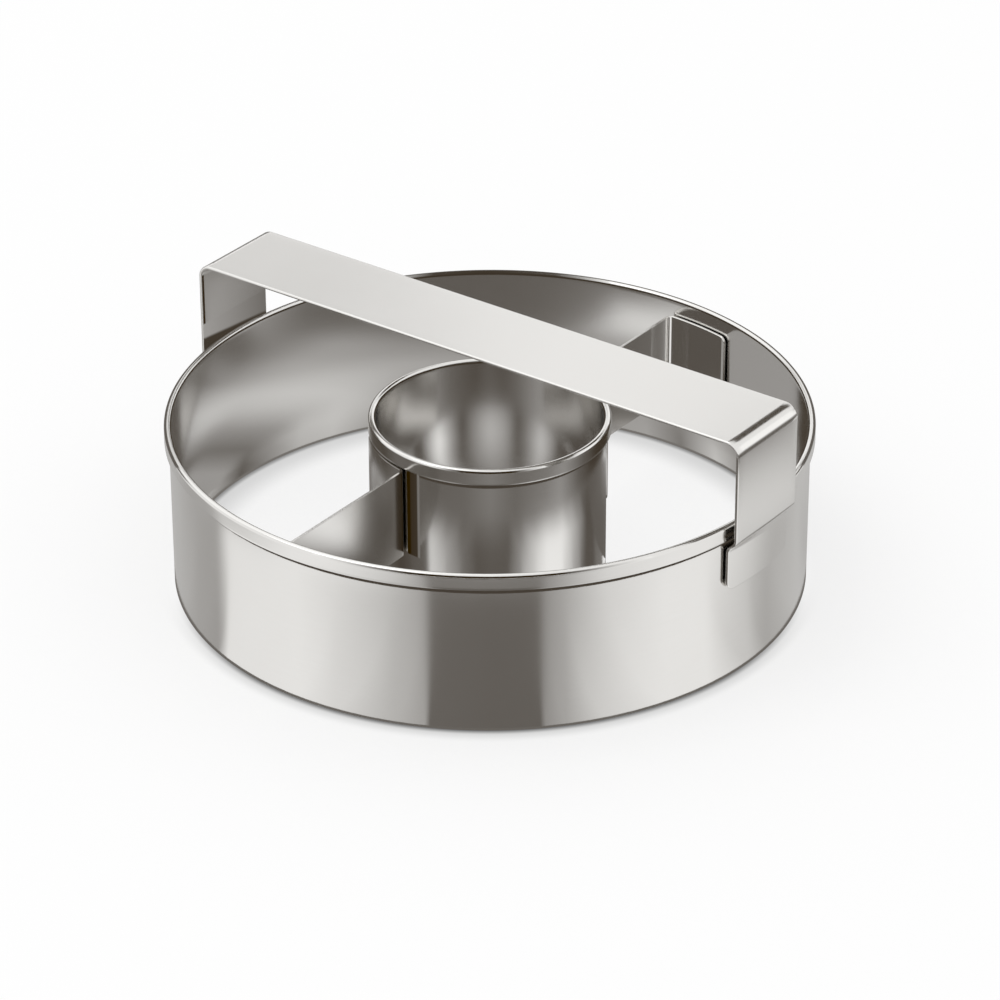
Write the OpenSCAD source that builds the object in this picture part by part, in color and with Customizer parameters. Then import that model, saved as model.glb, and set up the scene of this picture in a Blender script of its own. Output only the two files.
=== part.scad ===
// Donut cutter in thin stainless sheet: two hemmed rings, two flanged struts and a strap handle.
// The origin is the centre of both rings in the plane of the cutting edges, +Z is up, and
// the handle runs along X.

/* [Rings] */
// Outside diameter of the band that cuts the donut
cut_dia = 90; // [70:1:120]
// Outside diameter of the band that cuts the hole
hole_dia = 32.9; // [26:0.1:44]
// Height of both rings, from cutting edge to rim
ring_height = 24.4; // [20:0.2:40]
// Thickness of the ring sheet
ring_sheet = 0.4; // [0.3:0.05:0.6]
// Height of the hem that is rolled outward at the rim
hem_height = 2.3; // [1.6:0.1:3]
// Slit left inside the hem, between the wall and the lip
hem_slit = 0.26; // [0.16:0.02:0.4]

/* [Struts] */
// Height of the strips that join the rings
strut_height = 13.5; // [8:0.5:16]
// Thickness of the strut sheet
strut_sheet = 0.4; // [0.3:0.05:0.6]
// Gap left between the struts' upper edge and the hem of the inner ring
strut_drop = 0.3; // [0.2:0.1:2]
// Distance of the front strut's flange side from the centre line
front_strut_offset = 2.8; // [0:0.1:5]
// Distance of the rear strut's flange side from the centre line
rear_strut_offset = 0.5; // [0:0.1:5]
// Inside radius of the bend between a strut and its flanges
strut_bend = 0.6; // [0.3:0.1:1.2]
// Length of the flange on the inner ring, along its curve
inner_flange = 11.5; // [5:0.5:13]
// Length of the flange on the outer ring, along its curve
outer_flange = 10; // [5:0.5:16]
// Radius of the flanges' free corners
flange_corner = 1; // [0.4:0.1:2]

/* [Handle] */
// Width of the strap
strap_width = 14.4; // [10:0.2:20]
// Thickness of the strap
strap_sheet = 0.5; // [0.35:0.05:0.6]
// Room under the strap for the fingers, above the rim
grip_room = 12.2; // [8:0.2:30]
// Inside radius of the two top bends
strap_bend = 1.5; // [0.8:0.1:5]
// Gap between the hem and the strap's legs
leg_gap = 0.3; // [0.25:0.05:1]
// Length of the joggle that brings each leg in under the hem
joggle_height = 2; // [1.8:0.1:3]
// Length of the tab on the wall, below the joggle
tab_height = 6; // [4:0.1:9]
// Radius of the tabs' lower corners
tab_corner = 1.4; // [0.6:0.1:3]

/* [Fit] */
// Gap between a ring's wall and a flange or tab that is welded on it
weld_gap = 0.25; // [0.1:0.05:0.3]

/* [Hidden] */
steel = "#C9C7C2";
round_fn = 180;
bend_fn = 48;
// Steps of a polygon along a strut's flange and round its bend
flange_steps = 16;
bend_steps = 8;
// Columns and rows of points on the foot of the strap
foot_columns = 16;
joggle_rows = 10;
corner_rows = 6;
// Extra reach of a cutting shape past what it cuts
over = 1;

// Rings
outer_r = cut_dia / 2;
inner_r = hole_dia / 2;
hem_bottom = ring_height - hem_height;
rim_r = outer_r + hem_slit + ring_sheet;

// Struts
strut_top = hem_bottom - strut_drop;
strut_bottom = strut_top - strut_height;
inner_band_r = inner_r + weld_gap;
outer_band_r = outer_r - ring_sheet - weld_gap;

// Handle
strap_top = ring_height + grip_room + strap_sheet;
leg_face = rim_r + leg_gap + strap_sheet;
joggle_top = hem_bottom + leg_gap / 2;
tab_top = joggle_top - joggle_height;
tab_bottom = tab_top - tab_height;
tab_r = outer_r + weld_gap;
mid_leg_x = leg_face - strap_sheet / 2;
mid_tab_r = tab_r + strap_sheet / 2;

// One half of a flat ring between two radii, the half on the +Y side
module half_ring(r_in, r_out) {
    intersection() {
        difference() {
            circle(r = r_out, $fn = bend_fn);
            circle(r = r_in, $fn = bend_fn);
        }
        translate([-r_out - over, 0]) square([2 * (r_out + over), r_out + over]);
    }
}

// Quarter of a flat ring between two radii, the quarter on the +X and +Y side
module quarter_ring(r_in, r_out) {
    intersection() {
        difference() {
            circle(r = r_out, $fn = bend_fn);
            circle(r = r_in, $fn = bend_fn);
        }
        square(r_out + over);
    }
}

// Section of a ring to the right of its axis: the wall, the crown of the hem and its lip
module ring_section(wall_r) {
    crown_r = ring_sheet + hem_slit / 2;
    crown_x = wall_r + hem_slit / 2;
    crown_z = ring_height - crown_r;
    lip_x = wall_r + hem_slit;
    lip_z = hem_bottom + ring_sheet / 2;
    translate([wall_r - ring_sheet, 0]) square([ring_sheet, crown_z]);
    translate([crown_x, crown_z]) half_ring(hem_slit / 2, crown_r);
    translate([lip_x, lip_z]) square([ring_sheet, crown_z - lip_z]);
    translate([lip_x + ring_sheet / 2, lip_z]) circle(d = ring_sheet, $fn = bend_fn);
}

module hemmed_ring(wall_r) {
    rotate_extrude($fn = round_fn) ring_section(wall_r);
}

// Points along an arc about c, from angle a0 to a1 in equal steps, without the first and the last
// where inner is true
function arc_points(c, r, a0, a1, steps, inner = false) =
    [for (i = [inner ? 1 : 0 : inner ? steps - 1 : steps])
        let (a = a0 + (a1 - a0) * i / steps)
        c + r * [cos(a), sin(a)]];

// What rounds the upper and the lower corner at a flange's free end. The flange lies on radius r,
// ends at angle a and has its metal on the side of the larger angles.
module corner_cutter(r, a) {
    side = flange_corner + over;
    rotate([0, 0, a])
        translate([r, flange_corner, (strut_top + strut_bottom) / 2])
            for (lower = [0, 1])
                mirror([0, 0, lower])
                    translate([0, 0, strut_height / 2 - flange_corner])
                        rotate([0, 90, 0])
                            linear_extrude(2 * (strut_sheet + over), center = true)
                                difference() {
                                    translate([-side, -side]) square(side);
                                    circle(r = flange_corner, $fn = bend_fn);
                                }
}

// Strut on the +Y side. Its web stands beside the line x = offset, on the side of smaller x, and
// both flanges turn towards larger x: one round the inner ring, one along the outer ring.
module strut(offset) {
    inner_out_r = inner_band_r + strut_sheet;
    outer_in_r = outer_band_r - strut_sheet;
    outer_bend = strut_bend + strut_sheet;
    bend_x = offset + strut_bend;
    inner_c = [bend_x, sqrt(pow(inner_out_r + strut_bend, 2) - pow(bend_x, 2))];
    outer_c = [bend_x, sqrt(pow(outer_in_r - strut_bend, 2) - pow(bend_x, 2))];
    inner_a = atan2(inner_c[1], inner_c[0]);
    outer_a = atan2(outer_c[1], outer_c[0]);
    inner_end = inner_a - inner_flange / inner_out_r * 180 / PI;
    outer_end = outer_a - outer_flange / outer_in_r * 180 / PI;
    plan = concat(
        arc_points([0, 0], inner_out_r, inner_end, inner_a, flange_steps),
        arc_points(inner_c, strut_bend, 180 + inner_a, 180, bend_steps, inner = true),
        [[offset, inner_c[1]], [offset, outer_c[1]]],
        arc_points(outer_c, strut_bend, 180, outer_a, bend_steps, inner = true),
        arc_points([0, 0], outer_in_r, outer_a, outer_end, flange_steps),
        arc_points([0, 0], outer_band_r, outer_end, outer_a, flange_steps),
        arc_points(outer_c, outer_bend, outer_a, 180, bend_steps, inner = true),
        [[offset - strut_sheet, outer_c[1]], [offset - strut_sheet, inner_c[1]]],
        arc_points(inner_c, outer_bend, 180, 180 + inner_a, bend_steps, inner = true),
        arc_points([0, 0], inner_band_r, inner_a, inner_end, flange_steps)
    );
    difference() {
        translate([0, 0, strut_bottom]) linear_extrude(strut_height) polygon(plan);
        corner_cutter(inner_out_r, inner_end);
        corner_cutter(outer_in_r, outer_end);
    }
}

// Side outline of one half of the strap, from the middle of the top to the joggle
module strap_section() {
    outer_bend = strap_bend + strap_sheet;
    bend_x = leg_face - outer_bend;
    bend_z = strap_top - outer_bend;
    translate([0, strap_top - strap_sheet]) square([bend_x, strap_sheet]);
    translate([bend_x, bend_z]) quarter_ring(strap_bend, outer_bend);
    translate([leg_face - strap_sheet, joggle_top]) square([strap_sheet, bend_z - joggle_top]);
}

// Foot of the strap: the joggle leaves the flat leg and ends on the curve of the ring, and the tab
// hangs below it. Rows of points go down the sheet, from the joggle's upper end to the tab's end.

// How far in the joggle has come at the share t of its height, and its rate of change
function ease(t) = t * t * (3 - 2 * t);
function ease_rate(t) = 6 * t * (1 - t);

// Each row of the foot: its height, its share of the joggle and half its width
foot_rows = concat(
    [for (i = [0 : joggle_rows])
        [joggle_top - joggle_height * i / joggle_rows, i / joggle_rows, strap_width / 2]],
    [for (i = [0 : corner_rows])
        let (a = 90 * i / corner_rows)
        [
            tab_bottom + tab_corner * (1 - sin(a)),
            1,
            strap_width / 2 - tab_corner * (1 - cos(a))
        ]]
);

// Point of a row's column on the outer face, side = 1, or on the inner face, side = -1
function foot_point(row, column, side) =
    let (
        y = row[2] * (2 * column / foot_columns - 1),
        depth = mid_leg_x - sqrt(pow(mid_tab_r, 2) - y * y),
        slope = depth * ease_rate(row[1]) / joggle_height,
        lean = sqrt(1 + slope * slope),
        cant = row[1] * y / mid_tab_r,
        half = side * strap_sheet / 2
    )
    [
        mid_leg_x - depth * ease(row[1]) + half / lean * sqrt(1 - cant * cant),
        y + half / lean * cant,
        row[0] - half * slope / lean
    ];

module foot() {
    columns = foot_columns + 1;
    rows = len(foot_rows);
    points = [for (side = [1, -1], row = foot_rows, c = [0 : foot_columns]) foot_point(row, c, side)];
    back = rows * columns;
    last = (rows - 1) * columns;
    faces = concat(
        [for (r = [0 : rows - 2], c = [0 : foot_columns - 1], half = [0, 1])
            let (p = r * columns + c)
            half == 0 ? [p, p + 1, p + columns + 1] : [p, p + columns + 1, p + columns]],
        [for (r = [0 : rows - 2], c = [0 : foot_columns - 1], half = [0, 1])
            let (p = back + r * columns + c)
            half == 0 ? [p, p + columns + 1, p + 1] : [p, p + columns, p + columns + 1]],
        [for (r = [0 : rows - 2], half = [0, 1])
            let (p = r * columns)
            half == 0 ? [p, p + columns, back + p + columns] : [p, back + p + columns, back + p]],
        [for (r = [0 : rows - 2], half = [0, 1])
            let (p = r * columns + foot_columns)
            half == 0 ? [p, back + p + columns, p + columns] : [p, back + p, back + p + columns]],
        [for (c = [0 : foot_columns - 1], half = [0, 1])
            half == 0 ? [c, back + c, back + c + 1] : [c, back + c + 1, c + 1]],
        [for (c = [0 : foot_columns - 1], half = [0, 1])
            let (p = last + c)
            half == 0 ? [p, back + p + 1, back + p] : [p, p + 1, back + p + 1]]
    );
    polyhedron(points, faces);
}

module half_handle() {
    translate([0, strap_width / 2, 0])
        rotate([90, 0, 0])
            linear_extrude(strap_width) strap_section();
    foot();
}

module outer_ring() {
    color(steel) hemmed_ring(outer_r);
}

module inner_ring() {
    color(steel) hemmed_ring(inner_r);
}

module front_strut() {
    color(steel) rotate([0, 0, 180]) strut(front_strut_offset);
}

module rear_strut() {
    color(steel) strut(rear_strut_offset);
}

module handle() {
    color(steel) {
        half_handle();
        mirror([1, 0, 0]) half_handle();
    }
}

outer_ring();
inner_ring();
front_strut();
rear_strut();
handle();
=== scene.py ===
"""Donut cutter in thin stainless sheet, dressed for a studio picture.

Two hemmed rings, two flanged struts and a strap handle are bent from sheet here, in metres and in
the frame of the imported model, and each stands for the plain solid of the same name.
"""

import logging
import math
from collections.abc import Sequence
from dataclasses import dataclass
from enum import Enum
from typing import Any, Optional, Union

import bmesh
import bpy
from mathutils import Matrix, Vector


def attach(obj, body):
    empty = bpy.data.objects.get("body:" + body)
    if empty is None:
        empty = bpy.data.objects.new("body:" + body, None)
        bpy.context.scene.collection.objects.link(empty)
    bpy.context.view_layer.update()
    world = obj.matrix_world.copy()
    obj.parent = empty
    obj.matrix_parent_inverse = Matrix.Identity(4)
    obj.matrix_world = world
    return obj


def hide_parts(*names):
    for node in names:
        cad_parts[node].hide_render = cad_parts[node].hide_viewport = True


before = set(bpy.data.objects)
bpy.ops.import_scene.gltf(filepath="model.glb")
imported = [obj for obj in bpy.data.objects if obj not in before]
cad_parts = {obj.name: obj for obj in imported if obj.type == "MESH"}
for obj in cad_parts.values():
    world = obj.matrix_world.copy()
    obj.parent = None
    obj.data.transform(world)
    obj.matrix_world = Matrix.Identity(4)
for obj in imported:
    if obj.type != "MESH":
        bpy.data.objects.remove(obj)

MM = 0.001
PHOTO_HEADING = math.radians(36.59)
X_AXIS, Y_AXIS, Z_AXIS = Vector((1, 0, 0)), Vector((0, 1, 0)), Vector((0, 0, 1))
BLACK, WHITE = (0.0, 0.0, 0.0, 1.0), (1.0, 1.0, 1.0, 1.0)

Pair = tuple[float, float]
Triple = tuple[float, float, float]
Quad = tuple[float, float, float, float]
Key = Union[str, int]
Settings = Optional[dict[str, Any]]
Sockets = Optional[dict[Key, Any]]

log = logging.getLogger("donut_cutter")


class Grain(Enum):
    """How a finish's noise lies in a sheet: how much tighter it is packed on each axis."""

    EVEN = (1.0, 1.0, 1.0)
    ACROSS_Z = (1.0, 1.0, 30.0)
    ACROSS_Y = (1.0, 30.0, 1.0)


class Signal:
    """Output of a node, on which Python's arithmetic adds Math nodes."""

    def __init__(self, sheet: "ShaderSheet", node: bpy.types.Node, output: Key = 0) -> None:
        """Points at one output of a node of a sheet."""
        self.sheet, self.node, self.output = sheet, node, output

    def __getitem__(self, output: Key) -> "Signal":
        """Another output of the same node."""
        return Signal(self.sheet, self.node, output)

    def _math(self, operation: str, left: "Value", right: "Value") -> "Signal":
        """Adds one Math node."""
        return self.sheet.add("ShaderNodeMath", {"operation": operation}, {0: left, 1: right})

    def __add__(self, other: "Value") -> "Signal":
        """Sum."""
        return self._math("ADD", self, other)

    def __radd__(self, other: "Value") -> "Signal":
        """Sum with a plain number on the left."""
        return self._math("ADD", other, self)

    def __sub__(self, other: "Value") -> "Signal":
        """Difference."""
        return self._math("SUBTRACT", self, other)

    def __rsub__(self, other: "Value") -> "Signal":
        """Difference from a plain number."""
        return self._math("SUBTRACT", other, self)

    def __mul__(self, other: "Value") -> "Signal":
        """Product."""
        return self._math("MULTIPLY", self, other)

    def __rmul__(self, other: "Value") -> "Signal":
        """Product with a plain number on the left."""
        return self._math("MULTIPLY", other, self)


Value = Union[float, Signal]


class ShaderSheet:
    """Node tree that is written from the top down."""

    def __init__(self, tree: bpy.types.NodeTree) -> None:
        """Starts with an empty tree."""
        self.tree = tree
        self.tree.nodes.clear()

    def add(self, kind: str, settings: Settings = None, sockets: Sockets = None) -> Signal:
        """Adds a node, sets it up and fills its sockets.

        Args:
            kind: The node's type.
            settings: The node's own properties, which are set first.
            sockets: A value or a Signal for each named or numbered input.

        Returns:
            Its first output.
        """
        node = self.tree.nodes.new(kind)
        for name, value in (settings or {}).items():
            setattr(node, name, value)
        for name, value in (sockets or {}).items():
            if isinstance(value, Signal):
                self.tree.links.new(value.node.outputs[value.output], node.inputs[name])
            else:
                node.inputs[name].default_value = value
        return Signal(self, node)

    def blend(self, share: Value, first: Any, second: Any) -> Signal:
        """Mixes two colours.

        Args:
            share: How much of the second colour shows; above 1 goes past it.
            first: First colour.
            second: Second colour.

        Returns:
            The mixed colour.
        """
        settings = {"data_type": "RGBA", "clamp_factor": False}
        return self.add("ShaderNodeMix", settings, {0: share, 6: first, 7: second})[2]


def blank_material(name: str) -> tuple[bpy.types.Material, ShaderSheet]:
    """Starts a material.

    Args:
        name: Its name.

    Returns:
        The material and its empty tree.
    """
    made = bpy.data.materials.new(name)
    made.use_nodes = True
    return made, ShaderSheet(made.node_tree)


def link(name: str, data: Any) -> bpy.types.Object:
    """Makes an object and links it to the scene.

    Args:
        name: Its name.
        data: Its mesh, lamp or camera.

    Returns:
        The object.
    """
    made = bpy.data.objects.new(name, data)
    bpy.context.scene.collection.objects.link(made)
    return made


def link_mesh(name: str, mesh: bmesh.types.BMesh) -> bpy.types.Object:
    """Turns a bmesh into an object.

    Args:
        name: Name of the object and its mesh.
        mesh: The bmesh, which is freed.

    Returns:
        The object.
    """
    data = bpy.data.meshes.new(name)
    mesh.to_mesh(data)
    mesh.free()
    return link(name, data)


@dataclass(frozen=True)
class SteelFinish:
    """Satin stainless sheet as it leaves the rolling mill, with a fine grain and soft clouds.

    Cells are counted along a metre, before a streak's are packed.
    """

    name: str
    slot: str
    grain: Grain
    gloss: float
    light: Triple = (0.80, 0.79, 0.77)
    deep: Triple = (0.74, 0.725, 0.70)
    streak_cells: float = 300.0
    streak_octaves: float = 2.0
    cloud_cells: float = 45.0
    cloud_octaves: float = 3.0
    streak_share: float = 0.35
    streak_gloss: float = 0.04
    cloud_gloss: float = 0.05
    bump: float = 0.05
    bump_height: float = 0.01 * MM

    def material(self) -> bpy.types.Material:
        """Builds the finish.

        Returns:
            The material.
        """
        made, sheet = blank_material(self.name)
        place = sheet.add("ShaderNodeTexCoord")["Object"]
        streaks = self._noise(sheet, place, self.streak_cells, self.grain, self.streak_octaves)
        clouds = self._noise(sheet, place, self.cloud_cells, Grain.EVEN, self.cloud_octaves)
        mixed = self.streak_share * streaks + (1.0 - self.streak_share) * clouds
        rough = self.gloss + self.streak_gloss * (streaks - 0.5)
        bump = {"Strength": self.bump, "Distance": self.bump_height, "Height": streaks}
        sockets = {
            "Base Color": sheet.blend(mixed, (*self.deep, 1.0), (*self.light, 1.0)),
            "Metallic": 1.0,
            "Roughness": rough + self.cloud_gloss * (clouds - 0.5),
            "Normal": sheet.add("ShaderNodeBump", sockets=bump),
        }
        shader = sheet.add("ShaderNodeBsdfPrincipled", sockets=sockets)
        sheet.add("ShaderNodeOutputMaterial", sockets={"Surface": shader})
        return made

    @staticmethod
    def _noise(
        sheet: ShaderSheet, place: Signal, cells: float, grain: Grain, detail: float
    ) -> Signal:
        """Adds noise.

        Args:
            sheet: The tree that it goes into.
            place: The coordinates.
            cells: Cells a metre.
            grain: How it is packed.
            detail: Octaves.

        Returns:
            The noise, from 0 to 1.
        """
        packed = {"Vector": place, "Scale": grain.value}
        place = sheet.add("ShaderNodeMapping", sockets=packed)
        sockets = {"Vector": place, "Scale": cells, "Detail": detail}
        return sheet.add("ShaderNodeTexNoise", sockets=sockets)


class SheetLine:
    """Line down the middle of a sheet, drawn and bent in a bmesh and then swept into a surface."""

    WELD = 0.001 * MM
    CORNER_STEPS = 8
    EDGE_STEPS = 3
    SHARP = math.radians(50)
    FACE_WEIGHT = 80

    def __init__(self, start: Vector) -> None:
        """Puts the first point down."""
        self.mesh = bmesh.new()
        self.tip = self.mesh.verts.new(start)

    def run(self, step: Vector, parts: int = 1) -> None:
        """Goes straight on.

        Args:
            step: The whole way.
            parts: Into how many edges it is cut.
        """
        for _ in range(parts):
            self.tip = bmesh.ops.extrude_vert_indiv(self.mesh, verts=[self.tip])["verts"][0]
            bmesh.ops.translate(self.mesh, verts=[self.tip], vec=step / parts)

    def turn(self, centre: Vector, axis: Vector, angle: float, steps: int) -> None:
        """Bends round a centre.

        Args:
            centre: Any point on the axis of the bend.
            axis: Direction of that axis.
            angle: How far, in radians.
            steps: Edges of the bend.
        """
        made = bmesh.ops.spin(
            self.mesh, geom=[self.tip], cent=centre, axis=axis, angle=angle, steps=steps
        )
        self.tip = next(g for g in made["geom_last"] if isinstance(g, bmesh.types.BMVert))

    def spin_round(self, steps: int) -> None:
        """Spins the line once round Z into a closed surface.

        Args:
            steps: Columns of faces.
        """
        line = self.mesh.verts[:] + self.mesh.edges[:]
        bmesh.ops.spin(
            self.mesh, geom=line, cent=Vector(), axis=Z_AXIS, angle=math.tau, steps=steps,
            use_merge=True,
        )

    def pull(self, steps: list[Vector]) -> None:
        """Draws the line out sideways into a strip.

        Args:
            steps: The way of each row of faces.
        """
        row = self.mesh.edges[:]
        for step in steps:
            made = bmesh.ops.extrude_edge_only(self.mesh, edges=row)["geom"]
            verts = [g for g in made if isinstance(g, bmesh.types.BMVert)]
            row = [g for g in made if isinstance(g, bmesh.types.BMEdge)]
            bmesh.ops.translate(self.mesh, verts=verts, vec=step)

    def mirror_x(self) -> None:
        """Adds the other half and joins both in the middle."""
        half = self.mesh.verts[:] + self.mesh.edges[:] + self.mesh.faces[:]
        bmesh.ops.mirror(
            self.mesh, geom=half, matrix=Matrix.Identity(4), merge_dist=self.WELD, axis="X"
        )

    def round_corners(self, corners: list[bmesh.types.BMVert], radius: float) -> None:
        """Rounds corners of the strip.

        Args:
            corners: The corner points.
            radius: Their radius.
        """
        bmesh.ops.bevel(
            self.mesh, geom=corners, offset=radius, segments=self.CORNER_STEPS, profile=0.5,
            affect="VERTICES", material=-1,
        )

    def finish(self, name: str, sheet: float, edge: float) -> bpy.types.Object:
        """Closes the surface and gives it the thickness and the soft edges of cut sheet.

        Args:
            name: Name of the piece.
            sheet: Thickness.
            edge: Radius left on the cut edges.

        Returns:
            The piece, with its place in its mesh.
        """
        bmesh.ops.remove_doubles(self.mesh, verts=self.mesh.verts[:], dist=self.WELD)
        bmesh.ops.recalc_face_normals(self.mesh, faces=self.mesh.faces[:])
        piece = link_mesh(name, self.mesh)
        piece.data.shade_smooth()
        wall = piece.modifiers.new("sheet", "SOLIDIFY")
        wall.thickness, wall.offset, wall.use_even_offset = sheet, 0.0, True
        soft = piece.modifiers.new("edges", "BEVEL")
        soft.width, soft.segments = edge, self.EDGE_STEPS
        soft.limit_method, soft.angle_limit = "ANGLE", self.SHARP
        even = piece.modifiers.new("faces", "WEIGHTED_NORMAL")
        even.mode, even.weight = "FACE_AREA", self.FACE_WEIGHT
        return piece


@dataclass
class CutterPiece:
    """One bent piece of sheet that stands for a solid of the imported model."""

    node: str
    finish: SteelFinish

    def draw(self) -> bpy.types.Object:
        """Builds the mesh; each kind of piece has its own way."""
        raise NotImplementedError

    def dress(self) -> bpy.types.Object:
        """Builds the piece, gives it its finish and puts it in the place of the solid.

        Returns:
            The piece.
        """
        piece = self.draw()
        piece.data.materials.append(self.finish.material())
        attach(piece, "root")
        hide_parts(self.node)
        return piece


@dataclass
class HemmedRing(CutterPiece):
    """Band with a cutting edge below and a hem rolled outward at the rim.

    Fields:
        tuck: How much it is drawn in, because the facets of the solid stand inside its radius.
        foot_row: Height of the row of faces at the cutting edge.
        end_row: Height of those beside the bend and at the lip.
    """

    radius: float = 45.0 * MM
    tuck: float = 0.005 * MM
    height: float = 24.4 * MM
    sheet: float = 0.4 * MM
    hem: float = 2.3 * MM
    slit: float = 0.26 * MM
    edge: float = 0.15 * MM
    foot_row: float = 0.6 * MM
    end_row: float = 0.4 * MM
    wall_rows: int = 4
    bend_steps: int = 12
    steps: int = 360

    def draw(self) -> bpy.types.Object:
        """Bends the section and spins it round.

        Returns:
            The ring.
        """
        middle = self.radius - self.tuck - self.sheet / 2
        bend = (self.slit + self.sheet) / 2
        crown = self.height - self.sheet / 2 - bend
        line = SheetLine(Vector((middle, 0, 0)))
        line.run(Z_AXIS * self.foot_row)
        line.run(Z_AXIS * (crown - self.foot_row - self.end_row), self.wall_rows)
        line.run(Z_AXIS * self.end_row)
        line.turn(Vector((middle + bend, 0, crown)), Y_AXIS, math.pi, self.bend_steps)
        lip = crown - (self.height - self.hem)
        for drop in (self.end_row, lip - 2 * self.end_row, self.end_row):
            line.run(Z_AXIS * -drop)
        line.spin_round(self.steps)
        return line.finish(f"{self.node}_sheet", self.sheet, self.edge)


@dataclass
class FlangedStrut(CutterPiece):
    """Upright strip between the rings, with a flange turned along each of them.

    Its web stands beside the middle by offset, and a turned one on the other side.
    """

    offset: float = 0.0
    turned: bool = False
    inner_radius: float = 16.45 * MM
    outer_radius: float = 45.0 * MM
    ring_sheet: float = 0.4 * MM
    weld_gap: float = 0.25 * MM
    sheet: float = 0.4 * MM
    bottom: float = 8.3 * MM
    height: float = 13.5 * MM
    bend: float = 0.6 * MM
    inner_flange: float = 11.5 * MM
    outer_flange: float = 10.0 * MM
    corner: float = 1.0 * MM
    edge: float = 0.14 * MM
    end_row: float = 1.2 * MM
    inner_steps: int = 20
    outer_steps: int = 12
    bend_steps: int = 8
    web_parts: int = 4

    def draw(self) -> bpy.types.Object:
        """Draws the plan from flange to flange, pulls it up and rounds the free corners.

        Returns:
            The strut.
        """
        half = self.sheet / 2
        inner = self.inner_radius + self.weld_gap + half
        outer = self.outer_radius - self.ring_sheet - self.weld_gap - half
        bend = self.bend + half
        bend_x = self.offset + self.bend
        inner_y = math.sqrt((inner + bend) ** 2 - bend_x**2)
        outer_y = math.sqrt((outer - bend) ** 2 - bend_x**2)
        inner_a, outer_a = math.atan2(inner_y, bend_x), math.atan2(outer_y, bend_x)
        sweep_in = self.inner_flange / (inner + half)
        sweep_out = self.outer_flange / (outer - half)
        start = inner_a - sweep_in
        first, last = self.end_row / inner, self.end_row / outer
        line = SheetLine(Vector((inner * math.cos(start), inner * math.sin(start), self.bottom)))
        centre = Vector()
        line.turn(centre, Z_AXIS, first, 1)
        line.turn(centre, Z_AXIS, sweep_in - first, self.inner_steps)
        line.turn(Vector((bend_x, inner_y, 0)), Z_AXIS, -inner_a, self.bend_steps)
        line.run(Y_AXIS * (outer_y - inner_y), self.web_parts)
        line.turn(Vector((bend_x, outer_y, 0)), Z_AXIS, outer_a - math.pi, self.bend_steps)
        line.turn(centre, Z_AXIS, last - sweep_out, self.outer_steps)
        line.turn(centre, Z_AXIS, -last, 1)
        line.pull([Z_AXIS * self.height])
        ends = [v for v in line.mesh.verts if len(v.link_edges) == 2]
        line.round_corners(ends, self.corner)
        if self.turned:
            half_turn = Matrix.Rotation(math.pi, 3, "Z")
            bmesh.ops.rotate(line.mesh, verts=line.mesh.verts[:], matrix=half_turn)
        return line.finish(f"{self.node}_sheet", self.sheet, self.edge)


@dataclass
class StrapHandle(CutterPiece):
    """Strap bent over both rings, with a joggled foot on the outer ring at each end.

    The joggle starts at joggle_top, and tab_radius is that of the tab's inner face.
    """

    width: float = 14.4 * MM
    sheet: float = 0.5 * MM
    top: float = 37.1 * MM
    leg_face: float = 46.46 * MM
    bend: float = 1.5 * MM
    joggle_top: float = 22.25 * MM
    joggle: float = 2.0 * MM
    tab: float = 6.0 * MM
    tab_corner: float = 1.4 * MM
    tab_radius: float = 45.25 * MM
    edge: float = 0.2 * MM
    end_row: float = 0.2 * MM
    top_parts: int = 6
    bend_steps: int = 12
    leg_parts: int = 3
    joggle_parts: int = 14
    tab_parts: int = 3
    columns: int = 12

    def draw(self) -> bpy.types.Object:
        """Bends one half, sets its foot on the curve of the ring and mirrors it.

        Returns:
            The handle.
        """
        half = self.sheet / 2
        bend = self.bend + half
        leg_x, top_z = self.leg_face - half, self.top - half
        line = SheetLine(Vector((0, -self.width / 2, top_z)))
        line.run(X_AXIS * (leg_x - bend), self.top_parts)
        centre = Vector((leg_x - bend, 0, top_z - bend))
        line.turn(centre, Y_AXIS, math.pi / 2, self.bend_steps)
        line.run(Z_AXIS * -(top_z - bend - self.joggle_top), self.leg_parts)
        line.run(Z_AXIS * -self.joggle, self.joggle_parts)
        last = self.tab_corner + self.end_row
        line.run(Z_AXIS * -(self.tab - last), self.tab_parts)
        line.run(Z_AXIS * -last)
        inside = (self.width - 2 * last) / self.columns
        line.pull([Y_AXIS * last, *[Y_AXIS * inside] * self.columns, Y_AXIS * last])
        tips = [v for v in line.mesh.verts if len(v.link_edges) == 2 and v.co.z < self.joggle_top]
        line.round_corners(tips, self.tab_corner)
        self._set_foot(line.mesh, leg_x)
        line.mirror_x()
        return line.finish(f"{self.node}_strap", self.sheet, self.edge)

    def _set_foot(self, mesh: bmesh.types.BMesh, leg_x: float) -> None:
        """Brings the end of the leg in under the hem and onto the curve of the wall.

        Args:
            mesh: The flat strap.
            leg_x: Where the middle of the leg's sheet stands.
        """
        middle = self.tab_radius + self.sheet / 2
        for vert in mesh.verts:
            if vert.co.z < self.joggle_top:
                share = min(1.0, (self.joggle_top - vert.co.z) / self.joggle)
                ease = share * share * (3 - 2 * share)
                vert.co.x -= ease * (leg_x - math.sqrt(middle**2 - vert.co.y**2))


class Facing(Enum):
    """Which side of a card glows."""

    UP = "up"
    DOWN = "down"
    INWARD = "towards the middle of the cutter"
    OUTWARD = "away from the middle of the cutter"


Ray = list[tuple[Vector, float]]
Tones = Sequence[Pair]


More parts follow.
